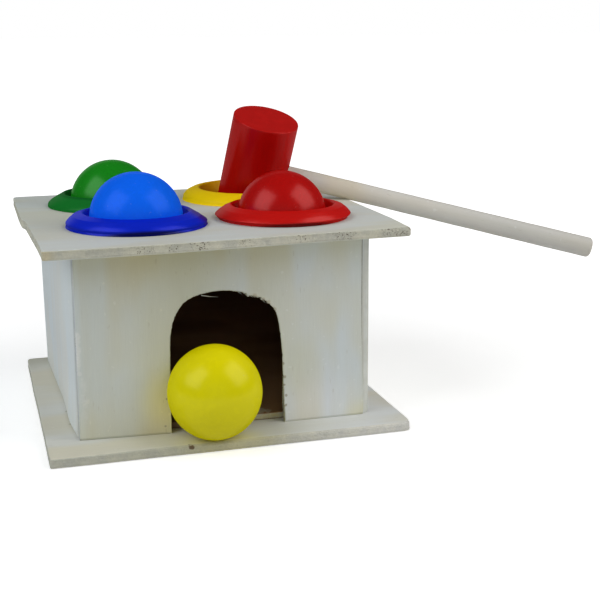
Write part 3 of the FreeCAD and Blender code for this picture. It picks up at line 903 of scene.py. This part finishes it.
bored = bpy.data.meshes.new_from_object(head.evaluated_get(
    bpy.context.evaluated_depsgraph_get()))
head.modifiers.clear()
bm = bmesh.new()
bm.from_mesh(bored)
bmesh.ops.remove_doubles(bm, verts=bm.verts, dist=4e-7)
bmesh.ops.dissolve_degenerate(bm, dist=4e-7, edges=bm.edges)
bm.to_mesh(bored)
bm.free()
head.data = bored
bpy.data.objects.remove(bore)
to_toy = Matrix.Scale(MM, 4) @ hammer_place @ Matrix.Scale(1 / MM, 4)
head.data.transform(to_toy)
head.data.set_sharp_from_angle(angle=math.radians(40))

brushed, given, result = shader_group("brushed paint on wood", COATING)
grain = noisy(brushed, stretched(brushed, given["Vector"], (1500, 1500, 60)), 1.0, 3.0, 0.6)
strokes = noisy(brushed, stretched(brushed, given["Vector"], (330, 330, 40)), 1.0, 2.0)
cloud = noisy(brushed, given["Vector"], 110.0, 2.0)
shade = maths(brushed, "MULTIPLY_ADD", cloud, 0.12, 0.83)
shade = maths(brushed, "MULTIPLY_ADD", strokes, 0.22, shade)
brushed.links.new(shaded(brushed, given["Colour"], shade), result["Color"])
brushed.links.new(maths(brushed, "MULTIPLY_ADD", grain, 0.14, given["Gloss"]), result["Roughness"])
brushed.links.new(maths(brushed, "MULTIPLY_ADD", strokes, 0.5, grain), result["Height"])

head.data.materials.append(coated(
    "head paint", brushed, (0.47, 0.0035, 0.0025), 0.34, (0.22, 0.00010), (0.10, 0.05),
    [("Z", 89.7, 90.2, (1.12, 2.6, 3.0))],
    tuple(hammer_place.to_3x3().transposed().to_euler())))
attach(head, "hammer")
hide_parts("hammer_head")

handle_growth, handle_end, end_round = 0.0018, 127.8, 1.4
handle_profile = [(0.0, -2.5), (3.4, -2.5), (3.5, -2.4)]
handle_profile += [(handle_radius + handle_growth * z + 0.025 * math.sin(z * 0.35), z)
                   for z in range(0, 127, 3)]
end_radius = handle_radius + handle_growth * handle_end
handle_profile += [(end_radius - end_round * (1 - math.cos(t)),
                    handle_end + end_round * math.sin(t)) for t in quarter_round]
handle_profile.append((0.0, handle_end + end_round))
along_x = hammer_place @ Matrix.Rotation(math.radians(90), 4, "Y")
handle = lathe("hammer_handle_dowel", handle_profile, 64, along_x, False)
handle.data.set_sharp_from_angle(angle=math.radians(50))
dowel, tree, shader, coordinates = principled("bare dowel", 0.3)
along_dowel = along_x.to_3x3().transposed().to_euler()
turned = add(tree, "Mapping", {"Vector": coordinates, "Rotation": tuple(along_dowel)}).outputs[0]
look = placed(tree, veneer, {"Vector": turned, "Cool": (0.70, 0.68, 0.63, 1), "Streaks": 0.35,
                             "Warm": (0.68, 0.635, 0.55, 1), "Patches": 0.45, "Flecks": 0.5})
tone = marked(tree, coordinates, look.outputs["Color"], (), [
    ("X", 60, 125, (0.90, 0.90, 0.91)), ("X", 69, 61, (1.0, 0.965, 0.88)),
    ("X", 55, 49, (0.96, 1.0, 1.09))])
surface(tree, shader, look, tone, 0.35, 0.00012)
handle.data.materials.append(dowel)
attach(handle, "hammer")
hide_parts("hammer_handle")


# Studio
# A white floor that runs on into a white backdrop, two large soft boxes at the left and right of
# the toy, a weak fill from the room, and the camera.

floor_mesh = bpy.data.meshes.new("floor")
floor_mesh.from_pydata([(-6, -6, 0), (6, -6, 0), (6, 6, 0), (-6, 6, 0)], [], [(0, 1, 2, 3)])
floor = added("floor", floor_mesh)
floor.location.z = -0.0002
sweep = bpy.data.materials.new("white sweep")
sweep.use_nodes = True
tree = sweep.node_tree
shader = tree.nodes["Principled BSDF"]
shader.inputs["Base Color"].default_value = (0.80, 0.80, 0.80, 1)
shader.inputs["Roughness"].default_value = 0.9
shader.inputs["Specular IOR Level"].default_value = 0.0
path = add(tree, "LightPath")
seen = maths(tree, "MAXIMUM", path.outputs["Is Camera Ray"], path.outputs["Is Glossy Ray"])
seen = maths(tree, "MAXIMUM", seen, path.outputs["Is Transmission Ray"])
shader.inputs["Emission Color"].default_value = (1, 1, 1, 1)
away = add(tree, "VectorMath", {0: add(tree, "TexCoord").outputs["Object"]}, operation="LENGTH")
glow = maths(tree, "MULTIPLY_ADD", ramped(tree, away.outputs["Value"], 0.1, 0.45), 0.48, 0.52)
glow = maths(tree, "MULTIPLY", seen, glow)
tree.links.new(glow, shader.inputs["Emission Strength"])
floor_mesh.materials.append(sweep)

world = bpy.data.worlds.new("studio")
bpy.context.scene.world = world
world.use_nodes = True
tree = world.node_tree
tree.nodes.clear()
path = add(tree, "LightPath")
direction = add(tree, "SeparateXYZ", {0: add(tree, "TexCoord").outputs["Generated"]})
behind = ramped(tree, direction.outputs["Y"], 0.82, 0.97)
seen = maths(tree, "MAXIMUM", path.outputs["Is Glossy Ray"], path.outputs["Is Transmission Ray"])
seen = maths(tree, "MULTIPLY", seen, behind)
seen = maths(tree, "MAXIMUM", path.outputs["Is Camera Ray"], seen)
room = add(tree, "Background", {"Color": (0.93, 0.96, 1.0, 1), "Strength": 0.13})
backdrop = add(tree, "Background", {"Color": (1, 1, 1, 1), "Strength": 1.0})
mix = add(tree, "MixShader", {0: seen, 1: room.outputs[0], 2: backdrop.outputs[0]})
tree.links.new(mix.outputs[0], add(tree, "OutputWorld").inputs["Surface"])

aim = Vector((0.0, 0.0, 0.05))
soft_boxes = (
    ("left soft box", Vector((-0.737, -0.20, 0.649)), 0.80, 0.66, 3.25, (0.95, 0.98, 1.0)),
    ("right soft box", Vector((0.696, -0.336, 0.636)), 0.80, 0.66, 3.25, (1.0, 0.985, 0.95)),
    ("front fill", Vector((-0.15, -1.0, 0.22)), 1.1, 1.0, 2.2, (1.0, 1.0, 1.0)),
)
for name, towards, distance, size, power, tint in soft_boxes:
    lamp = bpy.data.lights.new(name, "AREA")
    lamp.shape = "SQUARE"
    lamp.size = size
    lamp.energy = power
    lamp.color = tint
    box = added(name, lamp)
    box.location = aim + towards.normalized() * distance
    box.visible_glossy = "fill" not in name
    box.rotation_mode = "QUATERNION"
    box.rotation_quaternion = (-towards).to_track_quat("-Z", "Y")

camera_data = bpy.data.cameras.new("camera")
camera_data.sensor_width = 36.0
camera_data.lens = 74.36
camera_data.clip_start, camera_data.clip_end = 0.01, 50.0
camera = added("camera", camera_data)
right = Vector((0.95630815, -0.29232651, -0.00446478))
up = Vector((0.0707138, 0.216459, 0.97372741))
camera.matrix_world = Matrix.Translation((-0.0909954, -0.4249078, 0.1370621)) @ Matrix(
    (right, up, right.cross(up))).transposed().to_4x4()
bpy.context.scene.camera = camera
bpy.context.scene.view_settings.view_transform = "Standard"
